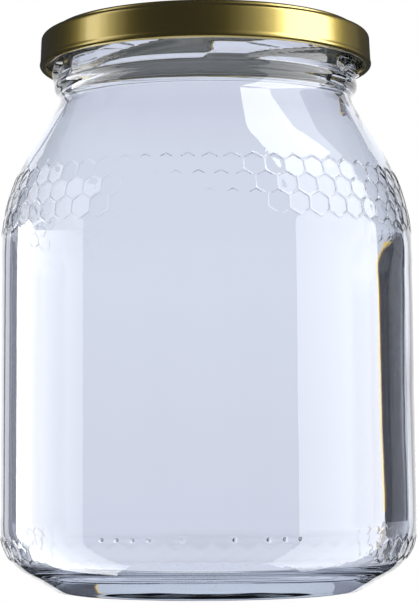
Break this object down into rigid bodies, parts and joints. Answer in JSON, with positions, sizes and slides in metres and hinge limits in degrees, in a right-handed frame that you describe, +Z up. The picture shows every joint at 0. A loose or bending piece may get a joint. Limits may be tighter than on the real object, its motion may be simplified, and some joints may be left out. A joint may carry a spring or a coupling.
{
  "type": "glass jar",
  "caption": "Wide-mouthed clear glass jar with a moulded honeycomb relief, closed by a gold twist-off lid, for storing honey or other spreads.",
  "frame": {"origin": "centre of the base, on the ground plane that the jar stands on", "axes": "+Z up along the jar's axis, from the foot to the lid; -Y towards the front, where the dots on the heel are; +X to the right of someone who faces the front"},
  "size_m": [0.0996, 0.0993, 0.1345],
  "materials": {
    "clear_glass": "clear gloss",
    "gold_lacquer": "semi-gloss"
  },
  "bodies": {
    "root": {"glass_jar": "clear_glass", "lid": "gold_lacquer"}
  },
  "joints": []
}
